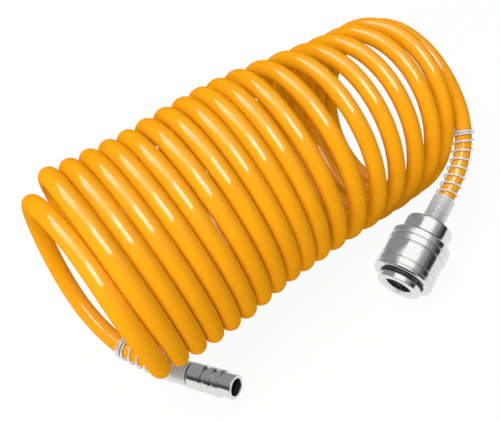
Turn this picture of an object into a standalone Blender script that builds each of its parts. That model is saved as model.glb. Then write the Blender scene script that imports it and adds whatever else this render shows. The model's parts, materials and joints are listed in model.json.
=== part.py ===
"""Recoil air hose with a push-on socket at one end and a plug at the other.

A wound hose of eighteen loops lies on its side. Its near tail runs under the first loops to the plug,
and its far tail comes down in front of the last loop to the socket. A wire spring guards each tail.
Sizes are in millimetres and become metres as the meshes are made. Z is up and the hose stands on Z = 0.
"""

import math

import bmesh
import bpy
from mathutils import Matrix, Vector

MM = 0.001

# Clearances
GAP = 0.3
SLIDE_GAP = 0.4
HOSE_GAP = 0.15
GUARD_GAP = 0.17
EDGE_BREAK = 0.4

# Hose and coil
HOSE_OD = 8.2
HOSE_BORE = 5.0
COIL_RADIUS = 43.0
COIL_START = 0.26
COIL_END = 17.62
JOIN_STEP = 0.06
POINTS_PER_LOOP = 24
COIL_MIDDLE = 9.0
COIL_CENTRE_X = 4.6
ARCH_RISE = 6.0
NEAR_END_LIFT = 12.0
RESTING_TURN = 17.5
FLAT_DEPTH = 0.8
TAIL_STEP = 7.3
ROUTE_STEP = 1.0
# Pitch in hose diameters; the rest in coil radii
PITCH_AT_TURN = ((0, 1.185), (5, 1.175), (9.5, 1.18), (12.5, 1.645), (14, 1.39), (15.5, 1.57), (17, 1.195))
RADIUS_AT_TURN = ((0, 1.035), (5, 1.035), (8, 1.02), (11, 1.02), (14, 1.0))
LEAN_AT_TURN = ((0, -0.236), (5, -0.245), (11, -0.2), (14, 0.015), (17, 0.2))
YAW_AT_TURN = ((0, -0.21), (5, -0.24), (11, -0.3), (17, -0.09))
SWAY_AT_TURN = ((0, 0.0), (15.5, 0.0), (17.3, 0.047))
RISE_AT_TURN = (
    (0, 0.09), (1, 0.06), (2, 0.015), (3.5, -0.025), (5, -0.04), (8.5, 0.03), (11, 0.04), (14, 0.0),
)

# Routes of the two tails, from the fittings to the coil, in coil radii: X from the coil's end on its axis,
# Y from the axis and Z from the height of a tail whose guard lies on the ground
PLUG_TAIL = (
    (0.28, -0.16, 0.014), (0.215, 0.135, 0.015), (0.185, 0.415, 0.075), (0.17, 0.67, 0.19),
    (0.165, 0.935, 0.43), (0.15, 1.13, 0.845), (0.115, 1.14, 1.205), (0.045, 0.985, 1.57),
    (-0.075, 0.61, 1.91), (-0.165, 0.1, 2.07), (-0.25, -0.54, 2.0), (-0.24, -0.93, 1.63),
)
SOCKET_TAIL = (
    (-0.19, -1.2, 0.755), (-0.07, -1.155, 0.85), (0.12, -1.015, 1.09), (0.2, -0.88, 1.27),
    (0.24, -0.715, 1.455), (0.275, -0.36, 1.735), (0.285, 0.14, 1.865), (0.275, 0.415, 1.81),
    (0.185, 0.915, 1.285), (0.11, 0.995, 0.885),
)

# Spring guards
GUARD_WIRE = 0.9
GUARD_PITCH_CLOSE = 1.5
GUARD_PITCH_END = 1.8
GUARD_CLOSE_TURNS = 7
GUARD_END_TURNS = 2
PLUG_GUARD_OPEN_TURNS = 6
PLUG_GUARD_PITCH = 4.1
SOCKET_GUARD_OPEN_TURNS = 8
SOCKET_GUARD_PITCH = 4.4
GUARD_SETBACK = 1.2
POINTS_PER_CURL = 8

# Hose tail clamp, the same on both fittings
NECK_LENGTH = 10.0
NECK_WALL = 0.35
BARB_LENGTH = 12.0
BARB_DEPTH = 0.3
STEM_BORE = 2.4

# Plug, measured from its rear face to its nose
# Its rear face: X from the coil's near end and Y from the coil's axis, in coil radii
PLUG_PLACE = (0.441, -0.695)
PLUG_HEIGHT = 9.1
PLUG_HEADING = math.radians(-73.0)
PLUG_RISE = math.radians(12.8)
PLUG_LENGTH = 25.0
PLUG_OD = 11.8
PLUG_COLLAR_OD = 12.0
PLUG_NOSE_OD = 10.6
PLUG_NOSE_BORE = 7.6
PLUG_NOSE_LENGTH = 6.4
PLUG_FRONT_COLLAR = 3.4
PLUG_SEAL_GROOVE = 2.2
PLUG_SEAL_GROOVE_OD = 9.8
PLUG_MIDDLE_COLLAR = 2.4
PLUG_LOCK_GROOVE = 2.6
PLUG_LOCK_GROOVE_OD = 9.2

# Socket, measured from its rear face to its nose
# Its rear face: X from the coil's far end and Y from the coil's axis, in coil radii
SOCKET_PLACE = (-0.809, -1.342)
SOCKET_HEADING = math.radians(192.0)
SOCKET_DIP = math.radians(22.0)
SOCKET_LENGTH = 35.3
REAR_BODY_OD = 23.2
REAR_BODY_LENGTH = 12.0
REAR_FLOOR = 4.7
SHOULDER_RADIUS = 1.8
STEM_OD = 18.0
LIP_OD = 21.0
LIP_LENGTH = 3.0
SOCKET_BORE = 12.3
MOUTH_OD = 14.6
MOUTH_DEPTH = 1.2
SEAT_FRONT = 18.5
SEAT_LENGTH = 2.0
SEAT_BORE = 8.0
CHAMBER_BORE = 13.0
SLEEVE_OD = 29.2
SLEEVE_REAR = 8.5
SLEEVE_TRAVEL = 4.5
SLEEVE_WAIST = 0.3
SLEEVE_LAND_LENGTH = 9.5
SLEEVE_RIBS = (0.09, 0.23, 0.59, 0.75)
RIB_GROOVE_DEPTH = 0.5
RIB_GROOVE_WIDTH = 1.0
RING_THICKNESS = 0.7
RING_OD = 20.9
RING_SEAT_DEPTH = 0.6
BALL_COUNT = 6
BALL_DIAMETER = 3.5
BALL_SETBACK = 4.4
BALL_LIFT = 0.9
BALL_REACH = 0.65
SLEEVE_SPRING_WIRE = 1.0
SLEEVE_SPRING_TURNS = 4
VALVE_HEAD_OD = 11.2
VALVE_HEAD_LENGTH = 2.5
VALVE_NOSE_OD = 6.8
VALVE_NOSE_REACH = 1.0
VALVE_STEM_OD = 3.4
VALVE_STEM_LENGTH = 2.9
VALVE_SEAL_THICKNESS = 1.0
VALVE_SPRING_WIRE = 0.7
VALVE_SPRING_TURNS = 5
VALVE_SPRING_OD = 7.6
PLUG_SEAL_WIDTH = 1.8
PLUG_SEAL_SETBACK = 1.0
PLUG_SEAL_DEPTH = 1.35
BODY_SEAL_THICKNESS = 0.7

SEGMENTS = 24
SEAL_SEGMENTS = 18

ORANGE = (0.87, 0.35, 0.02)
NICKEL = (0.74, 0.74, 0.73)
ZINC = (0.70, 0.71, 0.73)
STEEL = (0.55, 0.56, 0.58)
BRASS = (0.72, 0.50, 0.20)
RUBBER = (0.02, 0.02, 0.02)

HOSE_RADIUS = HOSE_OD / 2


def clear_scene():
    for item in list(bpy.data.objects):
        bpy.data.objects.remove(item, do_unlink=True)


def new_collection(name):
    collection = bpy.data.collections.new(name)
    bpy.context.scene.collection.children.link(collection)
    return collection


def make_material(name, colour, roughness, metallic):
    material = bpy.data.materials.new(name + "_material")
    material.use_nodes = True
    shader = material.node_tree.nodes["Principled BSDF"]
    shader.inputs["Base Color"].default_value = (*colour, 1.0)
    shader.inputs["Roughness"].default_value = roughness
    shader.inputs["Metallic"].default_value = metallic
    return material


def add_object(name, data, collection, parent, looks=None):
    item = bpy.data.objects.new(name, data)
    collection.objects.link(item)
    item.parent = parent
    if looks:
        data.materials.append(make_material(name, *looks))
    return item


def add_empty(name, parent, location, axis=None):
    empty = bpy.data.objects.new(name, None)
    parts.objects.link(empty)
    empty.parent = parent
    empty.location = Vector(location) * MM
    if axis:
        empty.rotation_mode = "QUATERNION"
        empty.rotation_quaternion = Vector(axis).to_track_quat("Z", "Y")
    return empty


def smooth_mesh(mesh):
    mesh.shade_smooth()
    mesh.set_sharp_from_angle(angle=math.radians(35))


def turned(name, profile, parent, looks, segments=SEGMENTS, closed=True):
    mesh = bpy.data.meshes.new(name)
    count = len(profile)
    edges = [(i, i + 1) for i in range(count - 1)]
    if closed:
        edges.append((count - 1, 0))
    mesh.from_pydata([(radius * MM, 0.0, height * MM) for radius, height in profile], edges, [])
    item = add_object(name, mesh, parts, parent, looks)
    screw = item.modifiers.new("Turn", "SCREW")
    screw.axis = "Z"
    screw.angle = math.tau
    screw.steps = segments
    screw.render_steps = segments
    screw.use_merge_vertices = True
    screw.merge_threshold = 0.00001
    return item


def wire(name, points, thickness, parent, looks):
    curve = bpy.data.curves.new(name, "CURVE")
    curve.dimensions = "3D"
    curve.bevel_depth = thickness / 2 * MM
    curve.bevel_resolution = 1
    curve.use_fill_caps = True
    spline = curve.splines.new("POLY")
    spline.points.add(len(points) - 1)
    for point, place in zip(spline.points, points):
        point.co = (place[0] * MM, place[1] * MM, place[2] * MM, 1.0)
    item = add_object(name, curve, parts, parent)
    mesh = bpy.data.meshes.new_from_object(item.evaluated_get(bpy.context.evaluated_depsgraph_get()))
    bpy.data.objects.remove(item)
    welded = bmesh.new()
    welded.from_mesh(mesh)
    bmesh.ops.remove_doubles(welded, verts=welded.verts, dist=0.00001)
    welded.to_mesh(mesh)
    welded.free()
    mesh.name = name
    smooth_mesh(mesh)
    return add_object(name, mesh, parts, parent, looks)


def cylinder_mesh(name, radius, bottom, top, segments):
    shape = bmesh.new()
    length = top - bottom
    place = Matrix.Translation((0.0, 0.0, (bottom + top) / 2 * MM))
    bmesh.ops.create_cone(shape, cap_ends=True, segments=segments, radius1=radius * MM, radius2=radius * MM,
                          depth=length * MM, matrix=place)
    mesh = bpy.data.meshes.new(name)
    shape.to_mesh(mesh)
    shape.free()
    return mesh


def add_cutter(name, mesh, parent):
    cutter = add_object(name, mesh, cutters, parent)
    cutter.hide_render = True
    cutter.display_type = "WIRE"
    return cutter


def cut(item, cutter):
    modifier = item.modifiers.new(cutter.name, "BOOLEAN")
    modifier.operation = "DIFFERENCE"
    modifier.object = cutter


def interpolate(table, turn):
    if turn <= table[0][0]:
        return table[0][1]
    for (low, start), (high, end) in zip(table, table[1:]):
        if turn <= high:
            return start + (end - start) * (turn - low) / (high - low)
    return table[-1][1]


def advance(turn):
    steps = max(1, round(turn * POINTS_PER_LOOP))
    width = turn / steps
    return HOSE_OD * sum(interpolate(PITCH_AT_TURN, (i + 0.5) * width) * width for i in range(steps))


def axis_x(turn):
    return advance(turn) - advance(COIL_MIDDLE) + COIL_CENTRE_X


def coil_point(turn):
    angle = math.tau * turn
    out = COIL_RADIUS * interpolate(RADIUS_AT_TURN, turn)
    x = axis_x(turn) + out * interpolate(LEAN_AT_TURN, turn) * math.cos(angle)
    x += out * interpolate(YAW_AT_TURN, turn) * math.sin(angle)
    y = COIL_RADIUS * interpolate(SWAY_AT_TURN, turn) - out * math.sin(angle)
    arch = ARCH_RISE * (1 - ((turn - COIL_MIDDLE) / COIL_MIDDLE) ** 2)
    arch -= ARCH_RISE * (1 - ((RESTING_TURN - COIL_MIDDLE) / COIL_MIDDLE) ** 2)
    lift = NEAR_END_LIFT * (1 - turn / RESTING_TURN) + COIL_RADIUS * interpolate(RISE_AT_TURN, turn)
    z = COIL_RADIUS + HOSE_RADIUS - FLAT_DEPTH + arch + lift + out * math.cos(angle)
    return Vector((x, y, z))


def smooth_route(points, samples=12):
    """Natural cubic spline through the points, with the straight distance between points as its measure."""
    spans = [(b - a).length for a, b in zip(points, points[1:])]
    last = len(points) - 1
    share = [0.0] * (last + 1)
    bend = [Vector() for _ in points]
    for i in range(1, last):
        back, ahead = spans[i - 1], spans[i]
        turn = (points[i + 1] - points[i]) / ahead - (points[i] - points[i - 1]) / back
        pivot = 2 * (back + ahead) - back * share[i - 1]
        share[i] = ahead / pivot
        bend[i] = (turn * 6 - bend[i - 1] * back) / pivot
    for i in range(last - 1, 0, -1):
        bend[i] -= bend[i + 1] * share[i]
    route = []
    for i, span in enumerate(spans):
        for j in range(samples):
            t = j / samples
            u = 1 - t
            sag = (bend[i] * (u ** 3 - u) + bend[i + 1] * (t ** 3 - t)) * span * span / 6
            route.append(points[i] * u + points[i + 1] * t + sag)
    route.append(points[-1].copy())
    return route


def even_steps(route, step):
    lengths = [0.0]
    for a, b in zip(route, route[1:]):
        lengths.append(lengths[-1] + (b - a).length)
    count = max(1, round(lengths[-1] / step))
    picked = []
    k = 0
    for i in range(count + 1):
        goal = lengths[-1] * i / count
        while k < len(route) - 2 and lengths[k + 1] < goal:
            k += 1
        share = (goal - lengths[k]) / (lengths[k + 1] - lengths[k])
        picked.append(route[k].lerp(route[k + 1], share))
    return picked


def guard_radius(inner):
    """Radius of a guard's wire line that clears an inner radius all round its straight pieces."""
    return (inner + GUARD_GAP + GUARD_WIRE / 2) / math.cos(math.pi / POINTS_PER_CURL)


def tail_points(shares, end):
    rest = guard_radius(HOSE_RADIUS) + GUARD_WIRE / 2
    start = Vector((axis_x(end), 0.0, rest))
    return [start + Vector(share) * COIL_RADIUS for share in shares]


def tail_route(rear, axis, via, turns):
    """Route from a fitting to the coil, straight in the neck and then one smooth bend."""
    straight = NECK_LENGTH + HOSE_RADIUS
    neck = [rear - axis * (GAP + straight * i / 2) for i in range(3)]
    coil = [coil_point(turn) for turn in turns]
    route = even_steps(smooth_route(neck + via + coil), ROUTE_STEP)
    for i in range(round(straight / ROUTE_STEP)):
        route[i] = rear - axis * (GAP + i * ROUTE_STEP)
    joint = min(range(len(route)), key=lambda i: (route[i] - coil[0]).length)
    return even_steps(route[:joint] + coil[:1], TAIL_STEP)


def hose_points():
    near = tail_route(plug_rear, plug_axis, tail_points(PLUG_TAIL, 0),
                      [COIL_START + JOIN_STEP * i for i in range(3)])
    far = tail_route(socket_rear, socket_axis, tail_points(SOCKET_TAIL, RESTING_TURN),
                     [COIL_END - JOIN_STEP * i for i in range(3)])
    count = round((COIL_END - COIL_START) * POINTS_PER_LOOP)
    loops = [coil_point(COIL_START + (COIL_END - COIL_START) * i / count) for i in range(1, count)]
    return near, loops, far


def least_gap(points, thickness, reach):
    """Least distance between strands, less the thickness, leaving out points close along the strand."""
    marks = even_steps(points, reach / 8)
    skip = 12
    best = min(
        (a - b).length
        for i, a in enumerate(marks)
        for b in marks[i + skip:]
    )
    return best - thickness


def wound_wire(route, start, radii, pitches):
    """Points of a wire wound round a route, given radius and pitch for each turn."""
    lengths = [0.0]
    for a, b in zip(route, route[1:]):
        lengths.append(lengths[-1] + (b - a).length)
    tangents = []
    for i in range(len(route)):
        tangents.append((route[min(i + 1, len(route) - 1)] - route[max(i - 1, 0)]).normalized())
    side = tangents[0].orthogonal().normalized()
    sides = []
    for tangent in tangents:
        side = (side - tangent * side.dot(tangent)).normalized()
        sides.append(side)
    points = []
    run = start
    k = 0
    total = round(len(pitches) * POINTS_PER_CURL)
    for i in range(total + 1):
        turn = i / POINTS_PER_CURL
        low = min(int(turn), len(pitches) - 1)
        while k < len(route) - 2 and lengths[k + 1] < run:
            k += 1
        share = (run - lengths[k]) / (lengths[k + 1] - lengths[k])
        middle = route[k].lerp(route[k + 1], share)
        tangent = tangents[k].lerp(tangents[k + 1], share).normalized()
        across = sides[k].lerp(sides[k + 1], share)
        across = (across - tangent * across.dot(tangent)).normalized()
        up = tangent.cross(across)
        blend = turn - low
        after = min(low + 1, len(pitches) - 1)
        radius = radii[low] + (radii[after] - radii[low]) * blend
        angle = math.tau * turn
        points.append(middle + (across * math.cos(angle) + up * math.sin(angle)) * radius)
        run += (pitches[low] + (pitches[after] - pitches[low]) * blend) / POINTS_PER_CURL
    return points


def straight_spring(bottom, top, mean_radius, turns, thickness):
    low = bottom + thickness / 2
    rise = top - bottom - thickness
    count = turns * POINTS_PER_CURL
    points = []
    for i in range(count + 1):
        angle = math.tau * i / POINTS_PER_CURL
        x, y = mean_radius * math.cos(angle), mean_radius * math.sin(angle)
        points.append(Vector((x, y, low + rise * i / count)))
    return points


def tail_clamp():
    """Profile of the thin neck round the hose end and of the barbed stem inside it, from neck to bore."""
    neck_in = HOSE_RADIUS + HOSE_GAP
    neck_out = neck_in + NECK_WALL
    crest = HOSE_BORE / 2 - GAP
    root = crest - BARB_DEPTH
    third = BARB_LENGTH / 3
    return [
        (neck_out, 0.0), (neck_out, -NECK_LENGTH), (neck_in, -NECK_LENGTH), (neck_in, 0.0),
        (root, 0.0), (crest, -third), (root, -third), (crest, -2 * third), (root, -2 * third),
        (root, -BARB_LENGTH), (STEM_BORE / 2, -BARB_LENGTH),
    ]


def rib_groove(radius, middle):
    half = RIB_GROOVE_WIDTH / 2
    floor = radius - RIB_GROOVE_DEPTH
    bevel = RIB_GROOVE_DEPTH / 2
    return [(radius, middle + half), (floor, middle + half - bevel), (floor, middle - half + bevel),
            (radius, middle - half)]


def build_plug(origin):
    edge = EDGE_BREAK
    body = PLUG_OD / 2
    collar = PLUG_COLLAR_OD / 2
    nose = PLUG_NOSE_OD / 2
    bore = PLUG_NOSE_BORE / 2
    nose_back = PLUG_LENGTH - PLUG_NOSE_LENGTH
    seal_front = nose_back - PLUG_FRONT_COLLAR
    seal_back = seal_front - PLUG_SEAL_GROOVE
    lock_front = seal_back - PLUG_MIDDLE_COLLAR
    lock_back = lock_front - PLUG_LOCK_GROOVE
    profile = [
        (nose - edge, PLUG_LENGTH), (nose, PLUG_LENGTH - edge), (nose, nose_back + edge), (collar, nose_back),
        (collar, seal_front), (PLUG_SEAL_GROOVE_OD / 2, seal_front - edge),
        (PLUG_SEAL_GROOVE_OD / 2, seal_back + edge), (body, seal_back),
        (body, lock_front), (PLUG_LOCK_GROOVE_OD / 2, lock_front - edge),
        (PLUG_LOCK_GROOVE_OD / 2, lock_back + edge), (body, lock_back),
        (body, edge), (body - edge, 0.0),
    ]
    profile += tail_clamp()
    throat = seal_back
    profile += [
        (STEM_BORE / 2, throat), (bore, seal_front), (bore, PLUG_LENGTH - edge), (bore + edge, PLUG_LENGTH),
    ]
    return turned("plug_body", profile, origin, (NICKEL, 0.18, 1.0))


def build_socket(origin):
    stem = STEM_OD / 2
    lip = LIP_OD / 2
    bore = SOCKET_BORE / 2
    lip_back = SOCKET_LENGTH - LIP_LENGTH
    ring_front = lip_back - GAP
    ring_back = ring_front - RING_THICKNESS
    sleeve_front = ring_back - GAP
    seat_back = SEAT_FRONT - SEAT_LENGTH
    ball_place = sleeve_front - BALL_SETBACK
    ball_radius = BALL_DIAMETER / 2
    ball_orbit = bore - BALL_REACH + ball_radius
    edge = EDGE_BREAK

    # Rear body: the hose clamp, a closed floor and a cup that takes the stem
    cup = stem + GAP
    outer = REAR_BODY_OD / 2
    seal_floor = REAR_FLOOR - BODY_SEAL_THICKNESS - GAP
    chamber = CHAMBER_BORE / 2
    profile = [(outer, REAR_BODY_LENGTH)]
    for i in range(4):
        angle = math.radians(30 * i)
        inward, back = SHOULDER_RADIUS * (1 - math.cos(angle)), SHOULDER_RADIUS * (1 - math.sin(angle))
        profile.append((outer - inward, back))
    profile += tail_clamp()
    profile += [
        (STEM_BORE / 2, REAR_FLOOR), (chamber - GAP, REAR_FLOOR), (chamber - GAP, seal_floor),
        (cup, seal_floor), (cup, REAR_BODY_LENGTH),
    ]
    turned("socket_rear_body", profile, origin, (NICKEL, 0.16, 1.0))

    # Body seal: a flat ring between the floor and the end of the stem
    front = REAR_FLOOR
    back = front - BODY_SEAL_THICKNESS
    turned("body_seal", [(stem, front), (stem, back), (chamber, back), (chamber, front)],
           origin, (RUBBER, 0.6, 0.0), SEAL_SEGMENTS)

    # Socket body: nose lip, ring seat, stem, valve chamber, valve seat, seal groove and mouth
    rear = REAR_FLOOR + GAP
    seal_back = SEAT_FRONT + PLUG_SEAL_SETBACK
    seal_front = seal_back + PLUG_SEAL_WIDTH + 2 * GAP
    groove = bore + PLUG_SEAL_DEPTH
    profile = [
        (lip - edge, SOCKET_LENGTH), (lip, SOCKET_LENGTH - edge), (lip, lip_back),
        (stem - RING_SEAT_DEPTH, lip_back), (stem - RING_SEAT_DEPTH, sleeve_front), (stem, sleeve_front),
        (stem, rear), (chamber, rear), (chamber, seat_back), (SEAT_BORE / 2, seat_back),
        (SEAT_BORE / 2, SEAT_FRONT), (bore, SEAT_FRONT), (bore, seal_back), (groove, seal_back),
        (groove, seal_front), (bore, seal_front),
        (bore, SOCKET_LENGTH - MOUTH_DEPTH), (MOUTH_OD / 2, SOCKET_LENGTH),
    ]
    body = turned("socket_body", profile, origin, (NICKEL, 0.18, 1.0))
    for i in range(BALL_COUNT):
        hole = cylinder_mesh("ball_hole_%d" % (i + 1), ball_radius + GAP, bore - 2 * GAP, stem + 2 * GAP, 12)
        cutter = add_cutter("ball_hole_%d" % (i + 1), hole, origin)
        angle = math.tau * i / BALL_COUNT
        cutter.location = (0.0, 0.0, ball_place * MM)
        cutter.rotation_euler = (0.0, math.pi / 2, angle)
        cut(body, cutter)

    # Plug seal, in the groove of the bore
    low = seal_back + GAP
    high = low + PLUG_SEAL_WIDTH
    inner = PLUG_NOSE_OD / 2 + GAP
    crown = groove - GAP
    middle = (low + high) / 2
    turned("plug_seal", [(crown, high - edge), (crown, low + edge), (crown - edge, low), (inner + edge, low),
                         (inner, middle), (inner + edge, high), (crown - edge, high)],
           origin, (RUBBER, 0.6, 0.0), SEAL_SEGMENTS)

    # Retaining ring, on its seat behind the lip
    seat = stem - RING_SEAT_DEPTH + GAP
    turned("sleeve_retaining_ring", [(RING_OD / 2, ring_front), (RING_OD / 2, ring_back), (seat, ring_back),
                                     (seat, ring_front)], origin, (STEEL, 0.35, 1.0))

    # Sleeve: slides back on the stem; its land holds the balls in and its front cone lets them out
    slope = BALL_LIFT / SLEEVE_TRAVEL
    land = stem + GAP
    land_back = sleeve_front - SLEEVE_LAND_LENGTH
    coil_half = SLEEVE_SPRING_WIRE / 2
    spring_mean = (stem + GAP + coil_half) / math.cos(math.pi / POINTS_PER_CURL)
    skirt = max(outer + SLIDE_GAP, spring_mean + coil_half + GAP)
    reach = (ball_radius + GAP) * math.sqrt(1 + slope * slope)
    cone_start = ball_place + (land - ball_orbit - reach) / slope
    cone_end = ball_orbit + reach + slope * (sleeve_front - ball_place)
    outside = SLEEVE_OD / 2
    ribs = [sleeve_front - share * (sleeve_front - SLEEVE_REAR) for share in SLEEVE_RIBS]
    profile = [(outside - 2 * edge, sleeve_front), (outside, sleeve_front - edge)]
    profile += rib_groove(outside, ribs[0]) + rib_groove(outside, ribs[1])
    profile.append((outside - SLEEVE_WAIST, (ribs[1] + ribs[2]) / 2))
    profile += rib_groove(outside, ribs[2]) + rib_groove(outside, ribs[3])
    profile += [(outside - edge, SLEEVE_REAR + edge), (outside - 3 * edge, SLEEVE_REAR), (skirt, SLEEVE_REAR),
                (skirt, land_back), (land, land_back), (land, cone_start), (cone_end, sleeve_front)]
    sleeve_slide = add_empty("sleeve_slide", origin, (0.0, 0.0, SLEEVE_REAR))
    turned("socket_sleeve", [(r, s - SLEEVE_REAR) for r, s in profile], sleeve_slide, (NICKEL, 0.14, 1.0))

    # Sleeve spring, from the rear body to the land
    spring = straight_spring(REAR_BODY_LENGTH + GAP, land_back - GAP, spring_mean, SLEEVE_SPRING_TURNS,
                             SLEEVE_SPRING_WIRE)
    wire("sleeve_spring", spring, SLEEVE_SPRING_WIRE, origin, (STEEL, 0.3, 1.0))

    # Locking balls, each on an empty whose Z axis points out of the stem
    for i in range(BALL_COUNT):
        angle = math.tau * i / BALL_COUNT
        out = Vector((math.cos(angle), math.sin(angle), 0.0))
        place = out * ball_orbit + Vector((0.0, 0.0, ball_place))
        slide = add_empty("ball_slide_%d" % (i + 1), origin, place, out)
        shape = bmesh.new()
        bmesh.ops.create_uvsphere(shape, u_segments=10, v_segments=6, radius=ball_radius * MM)
        mesh = bpy.data.meshes.new("locking_ball_%d" % (i + 1))
        shape.to_mesh(mesh)
        shape.free()
        mesh.shade_smooth()
        add_object("locking_ball_%d" % (i + 1), mesh, parts, slide, (STEEL, 0.12, 1.0))

    # Valve: a head with a nose through the seat, its flat seal and its spring
    seal_top = seat_back - GAP
    head_top = seal_top - VALVE_SEAL_THICKNESS - GAP
    head_back = head_top - VALVE_HEAD_LENGTH
    head = VALVE_HEAD_OD / 2
    nose = VALVE_NOSE_OD / 2
    nose_top = SEAT_FRONT + VALVE_NOSE_REACH
    pin = VALVE_STEM_OD / 2
    valve_slide = add_empty("valve_slide", origin, (0.0, 0.0, head_back))
    profile = [(0.0, nose_top), (nose - edge, nose_top), (nose, nose_top - edge), (nose, head_top),
               (head, head_top), (head, head_back), (pin, head_back), (pin, head_back - VALVE_STEM_LENGTH),
               (0.0, head_back - VALVE_STEM_LENGTH)]
    turned("valve_poppet", [(r, s - head_back) for r, s in profile], valve_slide, (BRASS, 0.3, 1.0),
           SEAL_SEGMENTS, closed=False)
    seal = [(head, seal_top), (head, head_top + GAP), (nose + GAP, head_top + GAP), (nose + GAP, seal_top)]
    seal = [(r, s - head_back) for r, s in seal]
    turned("valve_seal", seal, valve_slide, (RUBBER, 0.6, 0.0), SEAL_SEGMENTS)
    mean = (VALVE_SPRING_OD - VALVE_SPRING_WIRE) / 2
    wire("valve_spring", straight_spring(REAR_FLOOR + GAP, head_back - GAP, mean, VALVE_SPRING_TURNS,
                                         VALVE_SPRING_WIRE), VALVE_SPRING_WIRE, origin, (STEEL, 0.3, 1.0))
    return ball_place, ball_orbit


def build_guard(name, route, open_turns, open_pitch):
    """A wire guard: close turns on the neck, open turns along the hose and closed turns at the free end."""
    half = GUARD_WIRE / 2
    tight = guard_radius(HOSE_RADIUS + HOSE_GAP + NECK_WALL)
    loose = guard_radius(HOSE_RADIUS)
    close = GUARD_CLOSE_TURNS
    pitches = [GUARD_PITCH_CLOSE] * close + [open_pitch] * open_turns + [GUARD_PITCH_END] * GUARD_END_TURNS
    radii = [tight] * (close + 1) + [loose] * (open_turns + GUARD_END_TURNS - 1)
    points = wound_wire(route, GUARD_SETBACK + half - GAP, radii, pitches)
    wire(name, points, GUARD_WIRE, root, (ZINC, 0.28, 1.0))
    print("%s least gap to itself: %.2f mm" % (name, least_gap(points, GUARD_WIRE, HOSE_RADIUS)))


def build_hose():
    near, loops, far = hose_points()
    points = near + loops + far[::-1]
    hose = wire("recoil_hose", points, HOSE_OD, root, (ORANGE, 0.3, 0.0))
    bore_end = BARB_LENGTH + 2 * GAP
    for name, origin in (("plug_hose_bore", plug_origin), ("socket_hose_bore", socket_origin)):
        bore = cylinder_mesh(name, HOSE_BORE / 2, -bore_end, GAP, 12)
        cut(hose, add_cutter(name, bore, origin))
    shape = bmesh.new()
    bmesh.ops.create_cube(shape, size=1.0)
    floor = bpy.data.meshes.new("floor_flat")
    shape.to_mesh(floor)
    shape.free()
    cutter = add_cutter("floor_flat", floor, root)
    rest = coil_point(RESTING_TURN)
    cutter.scale = (4 * HOSE_OD * MM, COIL_RADIUS * MM, 2 * HOSE_OD * MM)
    cutter.location = (rest.x * MM, rest.y * MM, -HOSE_OD * MM)
    cut(hose, cutter)
    print("recoil_hose least gap to itself: %.2f mm" % least_gap(points, HOSE_OD, 3 * HOSE_OD))
    print("recoil_hose length: %.2f m" % (sum((b - a).length for a, b in zip(points, points[1:])) * MM))
    return near, far


def centre_on_origin():
    """Move the whole hose so that the middle of its box, at the bottom, is the origin."""
    bpy.context.view_layer.update()
    graph = bpy.context.evaluated_depsgraph_get()
    low = Vector((math.inf, math.inf, math.inf))
    high = -low
    for item in parts.objects:
        if item.type != "MESH":
            continue
        solid = item.evaluated_get(graph)
        for vertex in solid.data.vertices:
            place = solid.matrix_world @ vertex.co
            low = Vector(map(min, low, place))
            high = Vector(map(max, high, place))
    root.location -= Vector(((low.x + high.x) / 2, (low.y + high.y) / 2, low.z))
    bpy.context.view_layer.update()


def direction(heading, rise):
    return Vector((math.cos(heading) * math.cos(rise), math.sin(heading) * math.cos(rise), math.sin(rise)))


clear_scene()
parts = new_collection("recoil_air_hose")
cutters = new_collection("recoil_air_hose_cutters")
root = bpy.data.objects.new("recoil_air_hose_origin", None)
parts.objects.link(root)

plug_axis = direction(PLUG_HEADING, PLUG_RISE)
plug_rear = Vector((axis_x(0) + PLUG_PLACE[0] * COIL_RADIUS, PLUG_PLACE[1] * COIL_RADIUS, PLUG_HEIGHT))
socket_axis = direction(SOCKET_HEADING, -SOCKET_DIP)
socket_front = SOCKET_LENGTH - LIP_LENGTH - RING_THICKNESS - 2 * GAP
socket_height = SLEEVE_OD / 2 * math.cos(SOCKET_DIP) + socket_front * math.sin(SOCKET_DIP)
socket_rear = Vector((axis_x(RESTING_TURN) + SOCKET_PLACE[0] * COIL_RADIUS, SOCKET_PLACE[1] * COIL_RADIUS,
                      socket_height))

plug_origin = add_empty("plug_axis", root, plug_rear, plug_axis)
socket_origin = add_empty("socket_axis", root, socket_rear, socket_axis)

near_tail, far_tail = build_hose()
build_guard("plug_spring_guard", near_tail, PLUG_GUARD_OPEN_TURNS, PLUG_GUARD_PITCH)
build_guard("socket_spring_guard", far_tail, SOCKET_GUARD_OPEN_TURNS, SOCKET_GUARD_PITCH)
build_plug(plug_origin)
build_socket(socket_origin)
centre_on_origin()
for name in ("plug_axis", "socket_axis", "sleeve_slide", "valve_slide"):
    place = bpy.data.objects[name].matrix_world
    axis = place.to_3x3() @ Vector((0.0, 0.0, 1.0))
    print("%s at (%.5f, %.5f, %.5f) along (%.5f, %.5f, %.5f)" % (name, *place.translation, *axis))
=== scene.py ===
import json
import math

import bmesh
import bpy
from mathutils import Matrix, Vector


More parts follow.
